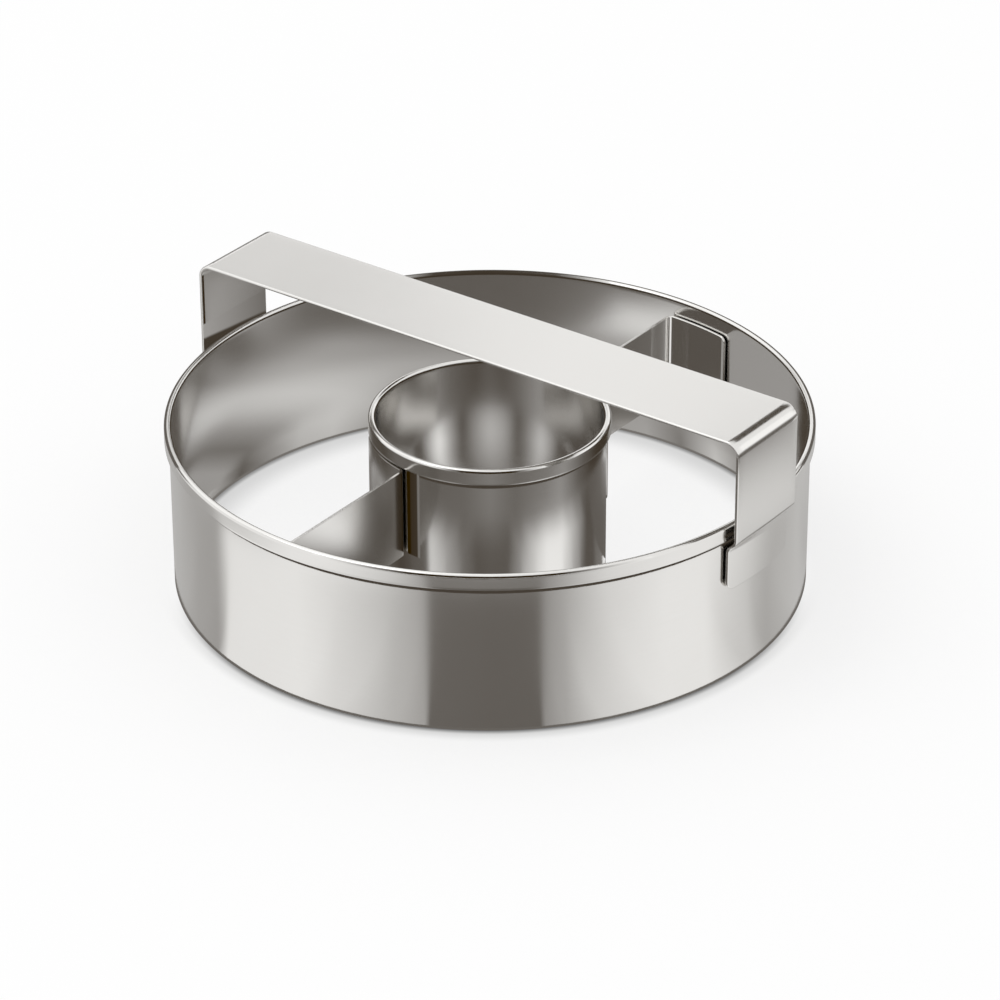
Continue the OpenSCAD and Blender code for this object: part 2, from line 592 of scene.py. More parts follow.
class CardSheet:
    """Grey cards that show only in the cutter's metal, as painted reflections, highlights and
    shade, cut in one mesh with a tone on each point.

    A card glows on its front and is clear from behind, so one that stands close before a hidden
    wall leaves that wall's own reflections as they are.
    """

    # Dark end of the cards' tones: the colour of their painted dark reflections and shade.
    BROWN = (0.028, 0.014, 0.0, 1.0)

    def __init__(self, heading: float) -> None:
        """Starts without a card.

        Args:
            heading: The camera's side of the cutter.
        """
        self.heading = heading
        self.mesh = bmesh.new()
        self.tone = self.mesh.verts.layers.float.new("tone")

    def place(self, right: float, away: float, height: float) -> Vector:
        """Point given by the way to the right of, away from and above the middle of the view."""
        sin, cos = math.sin(self.heading), math.cos(self.heading)
        return Vector((right * cos - away * sin, right * sin + away * cos, height))

    def level(self, angle: float, reach: float, height: float) -> Vector:
        """Point at an angle in degrees from the camera's side, to the right, and at a reach."""
        turned = math.radians(angle)
        return self.place(reach * math.sin(turned), -reach * math.cos(turned), height)

    def card(self, knots: Ray, facing: Facing) -> None:
        """Cuts one card.

        Args:
            knots: Its corners in order, with the tone at each.
            facing: Which side glows.
        """
        corners = []
        for point, tone in knots:
            corners.append(self.mesh.verts.new(point))
            corners[-1][self.tone] = tone
        card = bmesh.ops.contextual_create(self.mesh, geom=corners)["faces"][0]
        card.normal_update()
        level = facing in (Facing.UP, Facing.DOWN)
        front = Z_AXIS if level else card.calc_center_median()
        if (card.normal.dot(front) < 0) != (facing in (Facing.DOWN, Facing.INWARD)):
            card.normal_flip()

    def strip(self, rays: list[Ray], facing: Facing = Facing.UP) -> None:
        """Cuts cards between each two rays, from one knot of them to the next.

        Args:
            rays: Each a list of knots, with a tone for each.
            facing: Which side glows.
        """
        for left, right in zip(rays, rays[1:]):
            for k in range(len(left) - 1):
                self.card([left[k], left[k + 1], right[k + 1], right[k]], facing)

    def hoop(self, tones: Tones, ends: Sequence[Pair], facing: Facing = Facing.UP) -> None:
        """Cuts cards round the middle of the cutter.

        Args:
            tones: Angle from the camera's side, in degrees to the right, and the tone there.
            ends: Reach and height of each knot of a ray.
            facing: Which side glows.
        """
        rays = []
        for angle, tone in tones:
            rays.append([(self.level(angle, reach, height), tone) for reach, height in ends])
        self.strip(rays, facing)

    def build(self, name: str) -> None:
        """Makes the cards glow by their tone, seen by nothing but the metal.

        Args:
            name: Name of the object that they become.
        """
        cards = link_mesh(name, self.mesh)
        made, sheet = blank_material(name)
        made.cycles.emission_sampling = "NONE"
        tone = sheet.add("ShaderNodeAttribute", {"attribute_name": "tone"})["Fac"]
        lit = {"Color": sheet.blend(tone, self.BROWN, WHITE), "Strength": 1.0}
        glow = sheet.add("ShaderNodeEmission", sockets=lit)
        clear = sheet.add("ShaderNodeBsdfTransparent")
        behind = sheet.add("ShaderNodeNewGeometry")["Backfacing"]
        card = sheet.add("ShaderNodeMixShader", sockets={0: behind, 1: glow, 2: clear})
        sheet.add("ShaderNodeOutputMaterial", sockets={"Surface": card})
        cards.data.materials.append(made)
        cards.visible_camera = cards.visible_diffuse = cards.visible_shadow = False
        cards.visible_transmission = cards.visible_volume_scatter = False


@dataclass(frozen=True)
class HoopCard:
    """Round card along one of the cutter's walls, in one tone. Sizes are in mm.

    Fields:
        off: How far out from the wall each of its two edges stands.
        angles: First angle, last angle and the step between, in degrees.
    """

    off: Pair
    heights: Pair
    tone: float
    facing: Facing = Facing.UP
    angles: tuple[int, int, int] = (0, 360, 4)

    def cut(self, sheet: CardSheet, wall: float = 0.0) -> None:
        """Cuts it.

        Args:
            sheet: The cards.
            wall: Radius of the wall.
        """
        first, last, step = self.angles
        tones = [(angle, self.tone) for angle in range(first, last + 1, step)]
        ends = [(wall + off * MM, height * MM) for off, height in zip(self.off, self.heights)]
        sheet.hoop(tones, ends, self.facing)


@dataclass(frozen=True)
class UprightCard:
    """Card that stands upright in the frame of the cutter. Sizes are in mm.

    Fields:
        plan: X and Y of each upright line of it, and the tone there.
    """

    plan: Sequence[Triple]
    heights: Pair
    facing: Facing

    def cut(self, sheet: CardSheet) -> None:
        """Cuts it into a sheet."""
        rays = [[(Vector((x, y, z)) * MM, tone) for z in self.heights] for x, y, tone in self.plan]
        sheet.strip(rays, self.facing)


@dataclass(frozen=True)
class SlopedCard:
    """Card that lies along the rays which the strap's right leg mirrors, in mm.

    The leg sees such a card edge on, so only the bend above the leg and the joggle below meet it.

    Fields:
        plan: X of each line across it and the tone there.
        level: Height of its plane: fall times X plus way times Z.
        sides: Y of its two ends.
        fall: How far the rays fall while they go as far as way in X.
    """

    plan: Tones
    level: float
    sides: Pair
    facing: Facing
    fall: float = 0.5
    way: float = 0.516

    def cut(self, sheet: CardSheet) -> None:
        """Cuts it.

        Args:
            sheet: The cards.
        """
        rays = []
        for x, tone in self.plan:
            z = (self.level - self.fall * x) / self.way
            rays.append([(Vector((x, y, z)) * MM, tone) for y in self.sides])
        sheet.strip(rays, self.facing)


@dataclass(frozen=True)
class LeftLegCards:
    """Card inside the rim, where the strap's left leg looks down, and one close before the leg.

    Both paint the leg's reflection, with painted shade over its lower part. Sizes are in mm.

    Fields:
        parts: Y on the leg, the tone there and the height below which the leg is painted dark, as
            shade.
        level: Height of the card inside the rim.
        seen: From which height to which the leg sees that card.
        ray: How far in X and Y a ray goes for each mm along the ground.
        reach: How far along the ground it goes for each mm that it falls.
    """

    parts: Sequence[Triple] = ((-7.7, 0.42, 25.1), (-1.0, 0.32, 24.5), (7.7, 0.17, 23.7))
    leg_x: float = -45.96
    close_x: float = -45.75
    close_ends: Pair = (22.6, 27.3)
    level: float = 23.5
    seen: Pair = (26.9, 36.5)
    ray: Pair = (0.596, 0.803)
    reach: float = 1.732
    # Tone of the painted shade on the leg below that height.
    leg_shade_tone: float = 0.04
    soft: float = 0.2

    def cut(self, sheet: CardSheet) -> None:
        """Cuts both.

        Args:
            sheet: The cards.
        """
        inside, close = [], []
        bottom, top = self.close_ends
        for side, tone, edge in self.parts:
            ray = []
            for way in (self.reach * (height - self.level) for height in self.seen):
                x, y = self.ray[0] * way + self.leg_x, side + self.ray[1] * way
                ray.append((Vector((x, y, self.level)) * MM, tone))
            inside.append(ray)
            dark = ((bottom, self.leg_shade_tone), (edge - self.soft, self.leg_shade_tone))
            knots = (*dark, (edge + self.soft, tone), (top, tone))
            close.append([(Vector((self.close_x, side, z)) * MM, shown) for z, shown in knots])
        sheet.strip(inside)
        sheet.strip(close, Facing.OUTWARD)


@dataclass(frozen=True)
class CutterCards:
    """A group of cards, with the radii of the walls that they stand by."""

    sheet: CardSheet
    outer_face: float = 45.0 * MM
    bore: float = 44.6 * MM
    core_face: float = 16.45 * MM
    core_bore: float = 16.05 * MM


@dataclass(frozen=True)
class FloorCards(CutterCards):
    """The cards that give the metal its upright bands, as painted reflections.

    A wall that is seen from above at a slant mirrors the floor before it. So the floor cards are
    cut along the lines on which each upright strip of a wall looks out, and every strip then shows
    one tone from its foot to its hem. Angles are in degrees from the camera's side, to the right.

    Fields:
        outside: Angle on the outer wall, its tone, that of its hem and that of the far floor.
        outside_ways: Way in mm to each knot of such a line, two for each tone.
        between: Angle on the inner ring's outside, its tone low down and high up.
        behind: Angle on the outer ring's far wall, from the far side to the right, the tones at
            its foot, half way to and at the end of its line, and two on the way to the inner ring.
        within: Angle on the far wall inside the inner ring and its tone.
        within_start: Share of the tone that the middle line of these has at its start, what the
            outer ones have more, and the angle from which on they do.
        leg: Way in mm from the strap's right leg and the tone there.
        under: How far a card reaches in under the foot of a wall.
        lift: Height of the cards above the floor.
    """

    outside: Sequence[Quad] = (
        (-90, 0.5, 0.5, 0.5), (-75, 0.5, 0.5, 0.8), (-65, 0.43, 0.43, 1.0),
        (-57, 0.39, 0.45, 1.0), (-53.5, 0.97, 0.7, 1.0), (-47, 0.98, 0.78, 1.0),
        (-36, 1.0, 1.0, 1.0), (-28, 0.85, 1.0, 1.0), (-17, 0.58, 0.75, 0.6),
        (-11.5, 0.44, 0.45, 0.1), (-10.5, 0.14, 0.22, 0.03), (0.0, 0.13, 0.24, 0.02),
        (8.5, 0.13, 0.22, 0.03), (9.5, 0.34, 0.35, 0.08), (13, 0.46, 0.5, 0.3),
        (20, 0.78, 0.85, 0.9), (32, 1.0, 0.98, 1.0), (41, 1.0, 0.98, 1.0),
        (52, 0.69, 0.8, 1.0), (58, 0.47, 0.6, 1.0), (73, 0.58, 0.58, 0.8),
        (90, 0.45, 0.45, 0.45),
    )
    between: Sequence[Triple] = (
        (-75, 0.11, 0.15), (-50, 0.05, 0.1), (-42, 0.1, 0.12), (-33, 0.12, 0.1),
        (-31, 0.8, 0.14), (-22, 0.42, 0.14), (-14, 0.18, 0.12), (-7, 0.09, 0.15),
        (0, 0.11, 0.18), (9, 0.1, 0.12), (15, 0.32, 0.14), (23, 0.78, 0.22),
        (29, 1.05, 0.35), (38, 1.05, 0.4), (44, 0.65, 0.28), (50, 0.33, 0.15),
        (55, 0.08, 0.1), (62, 0.09, 0.1), (75, 0.2, 0.12),
    )
    behind: Sequence[tuple[float, ...]] = (
        (-86, 0.4, 0.4, 0.3, 0.12, 0.12), (-80, 0.52, 0.55, 0.45, 0.14, 0.12),
        (-72, 0.62, 0.5, 0.34, 0.14, 0.12), (-64, 0.34, 0.38, 0.4, 0.14, 0.12),
        (-56, 0.11, 0.13, 0.18, 0.2, 0.25), (-48, 0.28, 0.34, 0.34, 0.5, 0.6),
        (-40, 0.54, 0.62, 0.6, 0.85, 0.9), (-32, 0.62, 0.7, 0.7, 0.95, 1.0),
        (-24, 0.42, 0.58, 0.58, 0.95, 1.0), (-16, 0.12, 0.34, 0.48, 0.55, 0.6),
        (-8, 0.25, 0.28, 0.52, 0.36, 0.2), (0, 0.15, 0.14, 0.46, 0.36, 0.12),
        (8, 0.12, 0.12, 0.34, 0.48, 0.14), (16, 0.15, 0.14, 0.28, 0.48, 0.15),
        (24, 0.42, 0.3, 0.26, 0.3, 0.15), (32, 0.45, 0.42, 0.3, 0.15, 0.12),
        (40, 0.22, 0.25, 0.3, 0.14, 0.12), (49, 0.7, 0.62, 0.45, 0.14, 0.12),
        (60, 0.2, 0.22, 0.25, 0.14, 0.12), (70, 0.12, 0.14, 0.15, 0.12, 0.12),
        (80, 0.08, 0.1, 0.12, 0.12, 0.12), (86, 0.06, 0.08, 0.1, 0.12, 0.12),
    )
    within: Tones = (
        (-63, 0.12), (-56, 0.48), (-49, 0.06), (-42, 0.05), (-35, 0.5), (-28, 1.05),
        (-21, 0.4), (-14, 0.03), (-7, 0.32), (0, 0.56), (7, 0.42), (14, 0.05), (21, 0.28),
        (28, 0.66), (35, 0.38), (42, 0.06), (62, 0.05),
    )
    leg: Tones = (
        (37.0, 0.86), (47.0, 0.84), (54.0, 0.66), (58.0, 0.42), (60.0, 0.16), (72.0, 0.08),
        (77.0, 1.1), (200.0, 1.1),
    )
    outside_ways: tuple[float, ...] = (0, 36.5, 39, 60, 110, 400)
    between_low: float = 0.72
    within_start: Triple = (0.45, 0.4, 25.0)
    behind_reach: float = 17.0 * MM
    leg_face: float = 46.46 * MM
    leg_width: float = 30.0 * MM
    under: float = 0.1 * MM
    lift: float = 0.03 * MM

    def build(self) -> None:
        """Cuts all of them."""
        self.sheet.strip([self._outside_ray(*row) for row in self.outside])
        self.sheet.strip([self._between_ray(*row) for row in self.between])
        self.sheet.strip([self._behind_ray(*row) for row in self.behind])
        self.sheet.strip([self._within_ray(*row) for row in self.within])
        self.sheet.strip([self._leg_ray(side) for side in (-1, 1)])
        self.sheet.build("floor_cards")

    def _outside_ray(self, angle: float, low: float, high: float, far: float) -> Ray:
        """Line on which a strip of the outer wall looks out.

        Args:
            angle: Where the strip stands.
            low: Tone for the wall.
            high: Tone for the hem.
            far: Tone for the crown above it.

        Returns:
            The knots.
        """
        start = self.sheet.level(angle, self.outer_face - self.under, self.lift)
        way = self.sheet.level(2 * angle, MM, 0.0)
        tones = (low, low, high, high, far, far)
        return [(start + way * reach, tone) for reach, tone in zip(self.outside_ways, tones)]

    @staticmethod
    def _across(start: Vector, way: Vector, first: float, last: float) -> float:
        """Way to radius last of a line on the floor that starts at radius first."""
        lean = start.x * way.x + start.y * way.y
        return math.sqrt(lean**2 + last**2 - first**2) - lean

    def _between_ray(self, angle: float, low: float, high: float) -> Ray:
        """Line on which a strip of the inner ring's outside looks out, up to the outer ring.

        Args:
            angle: Where the strip stands.
            low: Tone near the ring.
            high: Tone near the outer ring.

        Returns:
            The knots.
        """
        start = self.sheet.level(angle, self.core_face - self.under, self.lift / 2)
        way = self.sheet.level(2 * angle, 1.0, 0.0)
        reach = self._across(start, way, self.core_face, self.bore)
        knots = ((0.0, low), (self.between_low, low), (1.0, high))
        return [(start + way * (part * reach), tone) for part, tone in knots]

    def _behind_ray(self, angle: float, *tones: float) -> Ray:
        """Line on which the low part of a strip of the far wall looks out, and on to the core.

        Such lines cross further in, so each ends before that and turns to the inner ring.

        Args:
            angle: Where the strip stands.
            tones: The tones of the five knots.

        Returns:
            The knots.
        """
        start = self.sheet.level(180 - angle, self.bore + self.under, self.lift)
        way = self.sheet.level(-2 * angle, self.behind_reach * math.cos(math.radians(angle)), 0.0)
        end = start + way
        core = self.sheet.level(180 - angle, self.core_face - self.under, self.lift)
        points = (start, start + way / 2, end, (end + core) / 2, core)
        return list(zip(points, tones))

    def _within_ray(self, angle: float, tone: float) -> Ray:
        """Line on which a strip of the far wall inside the inner ring looks out.

        It starts half way to that wall, where its tone is weaker.

        Args:
            angle: Where the strip stands, from the far side to the right.
            tone: What it is to show.

        Returns:
            The knots.
        """
        first = self.core_bore / 2
        start = self.sheet.place(0.0, first, self.lift)
        way = self.sheet.level(-2 * angle, 1.0, 0.0)
        reach = self._across(start, way, first, self.core_bore)
        least, more, wide = self.within_start
        low = least + more * min(1.0, abs(angle) / wide)
        knots = ((0.0, low), (0.3, 0.5 + low / 2), (0.65, 1.1), (1.0, 0.9))
        return [(start + way * (reach * part), tone * share) for part, share in knots]

    def _leg_ray(self, side: int) -> Ray:
        """One side of the card that the strap's right leg looks at.

        Args:
            side: 1 for the side away from the camera, -1 for the other.

        Returns:
            The knots.
        """
        start = Vector((self.leg_face, side * self.leg_width / 2, 2 * self.lift))
        way = self.sheet.level(180 - 2 * math.degrees(self.sheet.heading), MM, 0.0)
        return [(start + way * reach, tone) for reach, tone in self.leg]


@dataclass(frozen=True)
class WallCards(CutterCards):
    """Cards close before walls that the camera doesn't see, which paint those walls' reflections,
    and dark cards that paint thin lines of shade at the folds and a few pale ones that paint
    highlights.

    Angles are in degrees from the camera's side, to the right.

    Fields:
        near: Angle and tone before the outer ring's near wall, on its inside.
        core_back: The same before the inner ring's far wall, on its outside.
        core_near: The same before the inner ring's near wall, on its inside.
        rims: The same before the near part of both rims.
        outside_lines: Dark cards along a ring's outside that paint thin lines of shade: at the foot
            and
        below the hem.
        inside_lines: Dark cards along its inside that paint thin lines of shade: at the foot and at
            the
        far part of the rim.
        uprights: Dark cards that paint shade in the gaps beside the near edges of the strap's right
            tab
        and its leg and inside that of the left leg, and cards at the rear strut: beside its web a
        painted dark reflection, in its corner a painted highlight, before its flange painted shade.
        joggle: Card that paints what the right leg's joggle reflects.
        corner: Card that paints the dark band and the highlight on the bend above that leg.
        strut_corner: X and tone along the inner ring, beside the front strut, of the card that
            paints
        shade into that corner.
        rear_pale: Angle and reach in mm of the ends of the pale card before the rear web, which
            paints
        its reflection lighter.
    """

    near: Tones = (
        (-128, 0.08), (-100, 0.06), (-80, 0.14), (-46, 0.12), (-20, 0.15), (0, 0.23), (20, 0.15),
        (46, 0.22), (60, 0.32), (80, 0.12), (100, 0.03), (128, 0.03),
    )
    core_back: Tones = ((95, 0.20), (140, 0.13), (180, 0.11), (200, 0.16), (265, 0.20))
    core_near: Tones = (
        (-84, 0.34), (-63, 0.24), (-42, 0.14), (-21, 0.08), (0, 0.11), (21, 0.07), (42, 0.10),
        (63, 0.14), (84, 0.24),
    )
    rims: Tones = (
        (-32, 1.1), (-26, 0.8), (-20, 0.3), (-14, 0.01), (-7, 0.01), (0, 0.01), (7, 0.01),
        (12, 0.01), (17, 0.3), (23, 0.8), (29, 1.1),
    )
    wall_gap: float = 0.15 * MM
    wall_ends: Pair = (0.5 * MM, 22.1 * MM)
    wall_step: float = 5.0
    rim_gap: float = 1.9 * MM
    rim_ends: Pair = (24.05 * MM, 26.5 * MM)
    outside_lines: Sequence[HoopCard] = (
        HoopCard((-0.1, 0.5), (0.05, 0.05), 0.15),
        HoopCard((0.35, 0.35), (21.15, 21.85), 0.05, Facing.INWARD),
    )
    inside_lines: Sequence[HoopCard] = (
        HoopCard((-0.5, 0.1), (0.05, 0.05), 0.2),
        HoopCard((-0.45, -0.45), (23.75, 24.5), 0.03, Facing.OUTWARD, (72, 288, 4)),
    )
    # Dark card outside the far rim: a painted dark reflection in that rim.
    far_rim: HoopCard = HoopCard((1.2, 1.2), (23.5, 25.8), 0.12, Facing.INWARD, (72, 288, 4))
    # Dark ring just under the inner ring's hem: painted shade below it.
    core_hem_shade: HoopCard = HoopCard((0.01, 1.1), (22.06, 22.06), 0.05, Facing.DOWN, (0, 360, 5))
    uprights: Sequence[UprightCard] = (
        UprightCard(((44.4, -7.5, 0.12), (45.4, -7.5, 0.12)), (14.2, 20.6), Facing.INWARD),
        UprightCard(((45.6, -7.5, 0.12), (46.4, -7.5, 0.12)), (20.6, 35.0), Facing.INWARD),
        UprightCard(((-45.7, -7.0, 0.0), (-45.7, -6.4, 0.0)), (25.0, 35.0), Facing.OUTWARD),
        UprightCard(((0.7, 17.8, 0.09), (0.7, 43.5, 0.09)), (8.5, 21.6), Facing.OUTWARD),
        UprightCard(
            ((1.7, 40.6, 0.3), (2.2, 41.27, 1.1), (3.0, 42.35, 1.1), (3.4, 42.9, 0.3)),
            (6.0, 21.9), Facing.OUTWARD,
        ),
        UprightCard(
            ((1.15, 43.8, 0.26), (2.2, 43.76, 0.16), (6.0, 43.4, 0.13), (10.2, 42.6, 0.13)),
            (8.4, 21.8), Facing.INWARD,
        ),
    )
    joggle: SlopedCard = SlopedCard(
        ((46.15, 1.0), (46.35, 0.3), (47.2, 0.2), (48.3, 0.45), (50.0, 0.85)),
        33.56, (-8.0, 12.0), Facing.UP,
    )
    corner: SlopedCard = SlopedCard(
        ((47.2, 1.1), (47.45, 0.5), (47.9, 0.12), (52.5, 0.12), (54.0, 0.6)),
        42.1, (-9.0, 15.0), Facing.DOWN,
    )
    strut_corner: Tones = (
        (-2.45, 0.0), (-1.9, 0.0), (-1.7, 0.02), (-0.6, 0.03), (-0.4, 0.2), (-0.1, 0.2),
    )
    strut_ends: Pair = (8.4, 21.9)
    rear_pale: Sequence[Pair] = ((134, 34), (129.5, 44.2))
    rear_pale_ends: Pair = (8, 22)
    rear_pale_tone: float = 0.36

    def build(self) -> None:
        """Stands all of them up."""
        walls = (
            (self.near, self.bore - self.wall_gap, Facing.INWARD),
            (self.core_back, self.core_face + self.wall_gap, Facing.OUTWARD),
            (self.core_near, self.core_bore - self.wall_gap, Facing.INWARD),
        )
        for tones, radius, facing in walls:
            ends = [(radius, height) for height in self.wall_ends]
            self.sheet.hoop(self._filled(tones), ends, facing)
        for face in (self.outer_face, self.core_face):
            for line in self.outside_lines:
                line.cut(self.sheet, face)
            ends = [(face + self.rim_gap, height) for height in self.rim_ends]
            self.sheet.hoop(self.rims, ends, Facing.INWARD)
        for face in (self.bore, self.core_bore):
            for line in self.inside_lines:
                line.cut(self.sheet, face)
        self.far_rim.cut(self.sheet, self.outer_face)
        for card in (*self.uprights, self.joggle, self.corner):
            card.cut(self.sheet)
        LeftLegCards().cut(self.sheet)
        self._strut_lines()
        self.core_hem_shade.cut(self.sheet, self.core_face)
        self.sheet.build("wall_cards")

    def _filled(self, tones: Tones) -> list[Pair]:
        """Fills in tones between those that are given.

        Args:
            tones: Angles and tones.

        Returns:
            The same with more between them.
        """
        filled = []
        for (first, dim), (last, bright) in zip(tones, tones[1:]):
            steps = max(1, round((last - first) / self.wall_step))
            for share in (k / steps for k in range(steps)):
                filled.append((first + (last - first) * share, dim + (bright - dim) * share))
        return [*filled, tones[-1]]

    def _strut_lines(self) -> None:
        """Paints shade into the corner beside the front strut and lightens the end of the rear web
        with a painted reflection.
        """
        radius = (self.core_face + self.wall_gap) / MM
        plan = [(x, -math.sqrt(radius**2 - x**2), tone) for x, tone in self.strut_corner]
        UprightCard(plan, self.strut_ends, Facing.INWARD).cut(self.sheet)
        rays = []
        for angle, reach in self.rear_pale:
            ends = (self.sheet.level(angle, reach * MM, z * MM) for z in self.rear_pale_ends)
            rays.append([(end, self.rear_pale_tone) for end in ends])
        self.sheet.strip(rays, Facing.INWARD)


@dataclass(frozen=True)
class SkyCards(CutterCards):
    """Cards in the air that the strap's top, the bends and the crowns of the hems see: they glow in
    the metal alone, as painted reflections and highlights.

    Angles are in degrees from the camera's side, to the right.

    Fields:
        backdrop: Way to the right and tone of the card behind the cutter, which is pale below.
        domes: First and last angle, first and last angle above the horizon, and tone.
        over: Angle and tone above the far part of the rim.
    """

    backdrop: Tones = (
        (-0.30, 0.70), (-0.035, 0.76), (-0.013, 0.85), (-0.005, 0.99), (0.016, 1.05),
        (0.05, 1.08), (0.30, 1.10),
    )
    backdrop_away: float = 0.35
    backdrop_heights: tuple[float, ...] = (0.100, 0.160, 0.185, 0.272)
    pale: float = 1.2
    domes: Sequence[tuple[Pair, Pair, float]] = (
        ((129, 174), (33, 51), 0.0),
        ((174, 262), (28, 85), 1.2),
        ((92, 112), (-2, 28), 1.2),
        ((118, 160), (-1, 19), 0.10),
        ((160, 200), (-1, 13), 0.30),
        ((200, 242), (-1, 19), 0.08),
    )
    dome_reach: float = 0.85
    dome_steps: int = 8
    # Dark card far behind on the floor: a painted dark reflection low in the metal.
    far_floor: HoopCard = HoopCard((100.0, 800.0), (0.1, 0.1), 0.12, Facing.UP, (118, 242, 4))
    over: Tones = ((158, 1.0), (168, 0.05), (180, 0.03), (190, 0.05), (200, 1.0))
    over_height: float = 27.4 * MM
    over_edges: Pair = (38 * MM, 56 * MM)

    def build(self) -> None:
        """Hangs a graded card behind the cutter and pale and dark ones round it."""
        rays = []
        for right, tone in self.backdrop:
            knots = zip(self.backdrop_heights, (self.pale, self.pale, tone, tone))
            away = self.backdrop_away
            rays.append([(self.sheet.place(right, away, height), shown) for height, shown in knots])
        self.sheet.strip(rays, Facing.INWARD)
        for row in self.domes:
            self._dome(*row)
        self.far_floor.cut(self.sheet)
        ends = [(edge, self.over_height) for edge in self.over_edges]
        self.sheet.hoop(self.over, ends, Facing.DOWN)
        self.sheet.build("sky_cards")

    def _dome(self, angles: Pair, ups: Pair, tone: float) -> None:
        """Bends one card over part of the sky.

        Args:
            angles: First and last angle from the camera's side, to the right.
            ups: First and last angle above the horizon.
            tone: Its tone.
        """
        tones, ends = [], []
        for share in (k / self.dome_steps for k in range(self.dome_steps + 1)):
            up = math.radians(ups[0] + (ups[1] - ups[0]) * share)
            tones.append((angles[0] + (angles[1] - angles[0]) * share, tone))
            ends.append((self.dome_reach * math.cos(up), self.dome_reach * math.sin(up)))
        self.sheet.hoop(tones, ends, Facing.INWARD)


@dataclass
class Surroundings:
    """Pale floor with a painted contact shadow, soft lamp and the grey cards that the metal sees,
    which glow in it as painted reflections.

    Fields:
        glow: Steps of the floor's own light with the distance from the middle. A step is where it
            starts and ends, in mm, and the numbers there.
        within: Step from inside the outer ring to outside.
        front: Step towards the camera, where the painted shadow outside sets in.
        outer_shade: Steps of the contact shadow outside, painted into the floor's colour and glow
            over its real shading.
        inner_shade: The same inside.
    """

    heading: float = PHOTO_HEADING
    floor_tone: float = 0.9
    floor_half: float = 4.0
    glow: Sequence[Quad] = ((43.5, 46.5, 0.82, 0.58), (48.0, 95.0, 0.0, 0.16))
    within: Sequence[Quad] = ((44.75, 44.85, 1.0, 0.0),)
    front: Sequence[Quad] = ((6.0, 34.0, 0.0, 1.0),)
    outer_shade: Sequence[Quad] = ((44.8, 46.0, 0.52, 0.0), (45.0, 48.0, 0.28, 0.0))
    inner_shade: Sequence[Quad] = ((43.6, 44.7, 0.0, 0.42), (38.0, 44.0, 0.0, 0.26))
    lamp_place: Triple = (-0.5, -0.4, 1.2)
    lamp_width: float = 0.8
    lamp_power: float = 2.0

    def build(self) -> None:
        """Builds all of it."""
        self._floor()
        self._world()
        self._lamp()
        for cards in (FloorCards, WallCards, SkyCards):
            cards(CardSheet(self.heading)).build()

    def _floor(self) -> None:
        """Lays the floor, which the camera and the metal see as paler than the lamp leaves it."""
        mesh = bmesh.new()
        bmesh.ops.create_grid(mesh, x_segments=2, y_segments=2, size=self.floor_half)
        floor = link_mesh("floor", mesh)
        made, sheet = blank_material("pale_floor")
        made.cycles.emission_sampling = "NONE"
        place = sheet.add("ShaderNodeTexCoord")["Object"]
        radius = sheet.add("ShaderNodeVectorMath", {"operation": "LENGTH"}, {0: place})["Value"]
        # Painted contact shadow, which darkens the floor's colour and its glow.
        lit = self._away_from_foot(sheet, place, radius)
        tone = (self.floor_tone, self.floor_tone, self.floor_tone, 1.0)
        cloth = sheet.add("ShaderNodeBsdfDiffuse", sockets={"Color": sheet.blend(lit, BLACK, tone)})
        own = {"Color": sheet.blend(lit, BLACK, WHITE), "Strength": 1.0}
        glow = sheet.add("ShaderNodeEmission", sockets=own)
        share = self._seen(sheet) * self._steps(sheet, radius, self.glow)
        both = sheet.add("ShaderNodeMixShader", sockets={0: share, 1: cloth, 2: glow})
        sheet.add("ShaderNodeOutputMaterial", sockets={"Surface": both})
        floor.data.materials.append(made)

    def _away_from_foot(self, sheet: ShaderSheet, place: Signal, radius: Signal) -> Signal:
        """Gives the painted contact shadow: how the floor brightens from the foot of the outer
        ring.

        Outside, the shadow lies on the camera's side alone.

        Args:
            sheet: The tree.
            place: Coordinates on the floor.
            radius: Distance from the middle of the cutter.

        Returns:
            A number that goes from a third or less at the foot to 1 on the open floor.
        """
        sides = {0: place, 1: (math.sin(self.heading), -math.cos(self.heading), 0.0)}
        toward = sheet.add("ShaderNodeVectorMath", {"operation": "DOT_PRODUCT"}, sides)["Value"]
        front = self._steps(sheet, toward, self.front)
        within = self._steps(sheet, radius, self.within)
        outer = self._steps(sheet, radius, self.outer_shade)
        inner = self._steps(sheet, radius, self.inner_shade)
        return 1.0 - front * outer * (1.0 - within) - inner * within

    @staticmethod
    def _steps(sheet: ShaderSheet, value: Signal, rows: Sequence[Quad]) -> Signal:
        """Adds up numbers that each go smoothly from one to another as a value crosses a span.

        Args:
            sheet: The tree.
            value: What is followed, in metres.
            rows: For each, where it starts and ends, in mm, and the numbers there.

        Returns:
            The sum.
        """
        smooth = {"interpolation_type": "SMOOTHSTEP"}
        steps = []
        for first, last, start, end in rows:
            sockets = {0: value, 1: first * MM, 2: last * MM, 3: start, 4: end}
            steps.append(sheet.add("ShaderNodeMapRange", smooth, sockets))
        return sum(steps[1:], steps[0])

    @staticmethod
    def _seen(sheet: ShaderSheet) -> Signal:
        """Is 1 for what the camera sees, in metal and through glass too, and 0 for stray light."""
        path = sheet.add("ShaderNodeLightPath")
        return path["Is Camera Ray"] + path["Is Glossy Ray"] + path["Is Transmission Ray"]

    def _world(self) -> None:
        """Makes the air round the scene white."""
        world = bpy.data.worlds.new("studio")
        world.use_nodes = True
        sheet = ShaderSheet(world.node_tree)
        air = sheet.add("ShaderNodeBackground", sockets={"Color": WHITE, "Strength": 1.0})
        sheet.add("ShaderNodeOutputWorld", sockets={"Surface": air})
        bpy.context.scene.world = world

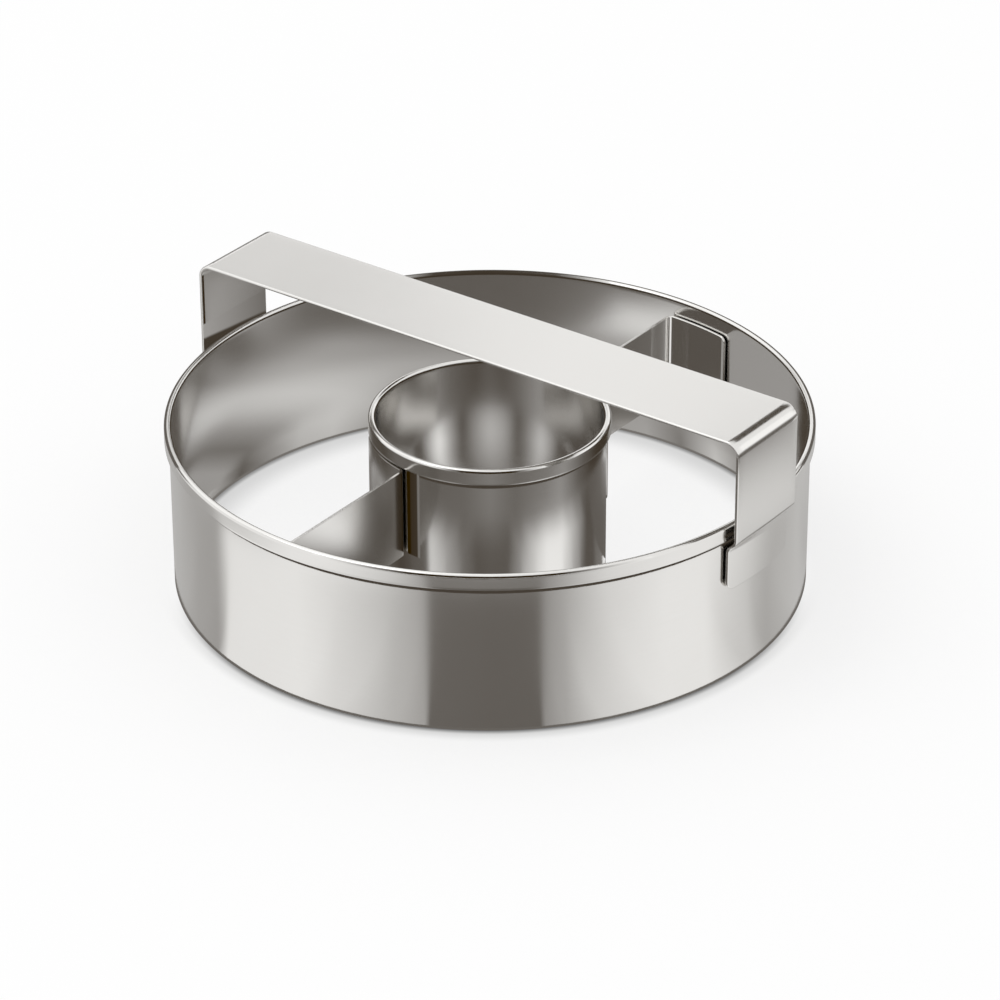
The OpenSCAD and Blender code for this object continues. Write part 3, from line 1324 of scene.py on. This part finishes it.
    def _lamp(self) -> None:
        """Hangs one soft lamp that points at the cutter."""
        lamp = bpy.data.lights.new("softbox", "AREA")
        lamp.shape, lamp.energy = "RECTANGLE", self.lamp_power
        lamp.size = lamp.size_y = self.lamp_width
        box = link("softbox", lamp)
        box.location = self.lamp_place
        box.rotation_euler = (-box.location).to_track_quat("-Z", "Y").to_euler()


@dataclass(frozen=True)
class PhotoCamera:
    """Camera at the photograph's viewing angle, fitted to the rings and the strap."""

    heading: float = PHOTO_HEADING
    height_angle: float = math.radians(29.962)
    distance: float = 650.72 * MM
    yaw: float = math.radians(0.124)
    pitch: float = math.radians(0.799)
    roll: float = math.radians(-0.242)
    lens: float = 164.0
    sensor: float = 36.0
    clip: Pair = (0.01, 20.0)

    def build(self) -> None:
        """Sets the camera up and looks through it."""
        flat, up = math.cos(self.height_angle), math.sin(self.height_angle)
        side = Vector((flat * math.sin(self.heading), -flat * math.cos(self.heading), up))
        place = self.distance * side
        ahead = -place.normalized()
        right = ahead.cross(Z_AXIS).normalized()
        up = right.cross(ahead)
        ahead = (ahead + math.tan(self.yaw) * right + math.tan(self.pitch) * up).normalized()
        right = ahead.cross(up).normalized()
        up = right.cross(ahead)
        cos, sin = math.cos(self.roll), math.sin(self.roll)
        basis = Matrix((right * cos + up * sin, up * cos - right * sin, -ahead)).transposed()
        data = bpy.data.cameras.new("camera")
        data.lens, data.sensor_width = self.lens, self.sensor
        data.clip_start, data.clip_end = self.clip
        camera = link("camera", data)
        camera.matrix_world = Matrix.Translation(place) @ basis.to_4x4()
        bpy.context.scene.camera = camera


def main() -> None:
    """Builds the camera, the studio and the five pieces, and reports each piece."""
    logging.basicConfig(level=logging.INFO, format="%(name)s: %(message)s")
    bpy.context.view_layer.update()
    PhotoCamera().build()
    Surroundings().build()
    rings = SteelFinish("ring_satin", "ring_steel", Grain.ACROSS_Z, gloss=0.16)
    struts = SteelFinish("strut_satin", "strut_steel", Grain.ACROSS_Z, gloss=0.18)
    strap = SteelFinish("strap_satin", "handle_steel", Grain.ACROSS_Y, gloss=0.2)
    pieces = [
        HemmedRing("outer_ring", rings),
        HemmedRing("inner_ring", rings, radius=16.45 * MM, steps=240),
        FlangedStrut("front_strut", struts, offset=2.8 * MM, turned=True),
        FlangedStrut("rear_strut", struts, offset=0.5 * MM),
        StrapHandle("handle", strap),
    ]
    for piece in pieces:
        made = piece.dress()
        log.info("%s stands for %s", made.name, piece.node)
    bpy.context.scene.view_settings.view_transform = "Standard"


if __name__ == "__main__":
    main()
